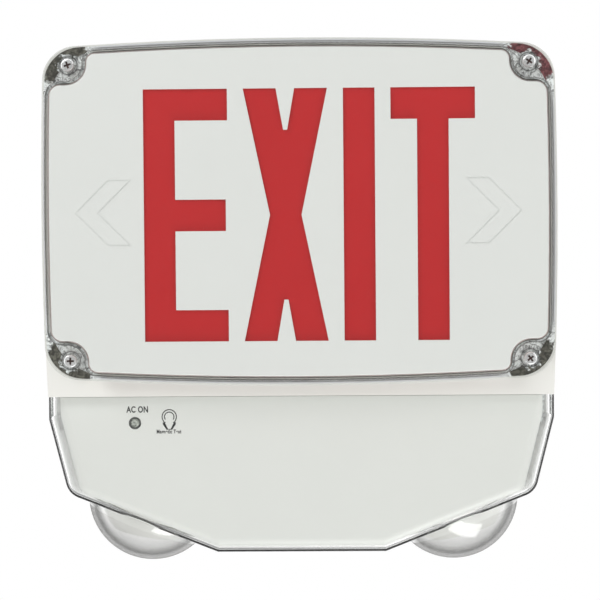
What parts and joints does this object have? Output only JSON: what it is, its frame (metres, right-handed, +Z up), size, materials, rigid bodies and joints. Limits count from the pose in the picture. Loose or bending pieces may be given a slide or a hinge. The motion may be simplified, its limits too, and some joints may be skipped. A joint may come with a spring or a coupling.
{
  "type": "emergency exit light",
  "caption": "Wall-mounted emergency exit light: red EXIT letters behind a clear sign cover, over a clear shell with two domed lamp heads that turn and tilt.",
  "frame": {"origin": "centre of the two wall screw holes, on the wall plane, level with the middle of the letters", "axes": "+X to the viewer's right, +Z up, -Y out of the wall towards the viewer"},
  "size_m": [0.3138, 0.112, 0.3229],
  "materials": {
    "white_housing": "moulded white, slightly glossy",
    "white_plate": "smooth white sheet",
    "clear_cover": "clear polycarbonate, polished",
    "red_sheet": "translucent red",
    "gasket_foam": "matt",
    "screw_steel": "bright plated",
    "bracket_steel": "zinc plated",
    "board_green": "solder mask",
    "part_black": "matt",
    "core_iron": "varnished laminations",
    "terminal_green": "moulded",
    "can_sleeve": "printed sleeve",
    "sink_aluminium": "die cast",
    "mirror_metal": "vacuum coated",
    "led_yellow": "phosphor",
    "ball_white": "smooth moulded",
    "pilot_lens": "milky lens",
    "reed_glass": "clear tube"
  },
  "bodies": {
    "light": {"back_housing": "white_housing", "cover_gasket": "gasket_foam", "sign_cover": "clear_cover", "cover_screws": "screw_steel", "exit_stencil": "white_plate", "red_diffuser": "red_sheet", "light_tray": "white_housing", "tray_screws": "screw_steel", "led_strip_top": "board_green", "led_strip_bottom": "board_green", "sign_leds": "led_yellow", "driver_board": "board_green", "board_screws": "screw_steel", "transformer": "core_iron", "capacitors": "can_sleeve", "terminal_block": "terminal_green", "relay": "part_black", "battery_pack": "part_black", "battery_strap": "bracket_steel", "strap_screws": "screw_steel", "shell_gasket": "gasket_foam", "lamp_shell": "clear_cover", "inner_cover": "white_housing", "indicator_board": "board_green", "pilot_light": "pilot_lens", "reed_switch": "reed_glass", "indicator_screws": "screw_steel", "rear_screws": "screw_steel", "lamp_bracket_left": "bracket_steel", "bracket_screws_left": "screw_steel", "lamp_bracket_right": "bracket_steel", "bracket_screws_right": "screw_steel"},
    "left_turret": {"lamp_yoke_left": "bracket_steel", "stem_clip_left": "bracket_steel"},
    "left_lamp": {"lamp_ball_left": "ball_white", "pivot_pins_left": "screw_steel", "lamp_lens_left": "clear_cover", "lamp_reflector_left": "mirror_metal", "lamp_led_left": "led_yellow", "lamp_heat_sink_left": "sink_aluminium"},
    "right_turret": {"lamp_yoke_right": "bracket_steel", "stem_clip_right": "bracket_steel"},
    "right_lamp": {"lamp_ball_right": "ball_white", "pivot_pins_right": "screw_steel", "lamp_lens_right": "clear_cover", "lamp_reflector_right": "mirror_metal", "lamp_led_right": "led_yellow", "lamp_heat_sink_right": "sink_aluminium"}
  },
  "joints": [
    {"name": "left_lamp_turn", "type": "hinge", "parent": "light", "child": "left_turret", "pos_m": [-0.094, -0.046, -0.1753], "axis": [0.3673, 0, 0.9301], "range_deg": [-90, 90]},
    {"name": "left_lamp_tilt", "type": "hinge", "parent": "left_turret", "child": "left_lamp", "pos_m": [-0.094, -0.046, -0.1753], "axis": [0, 1, 0], "range_deg": [-9.05, 30.95]},
    {"name": "right_lamp_turn", "type": "hinge", "parent": "light", "child": "right_turret", "pos_m": [0.094, -0.046, -0.1753], "axis": [-0.3673, 0, 0.9301], "range_deg": [-90, 90]},
    {"name": "right_lamp_tilt", "type": "hinge", "parent": "right_turret", "child": "right_lamp", "pos_m": [0.094, -0.046, -0.1753], "axis": [0, 1, 0], "range_deg": [-26.05, 13.95]}
  ]
}
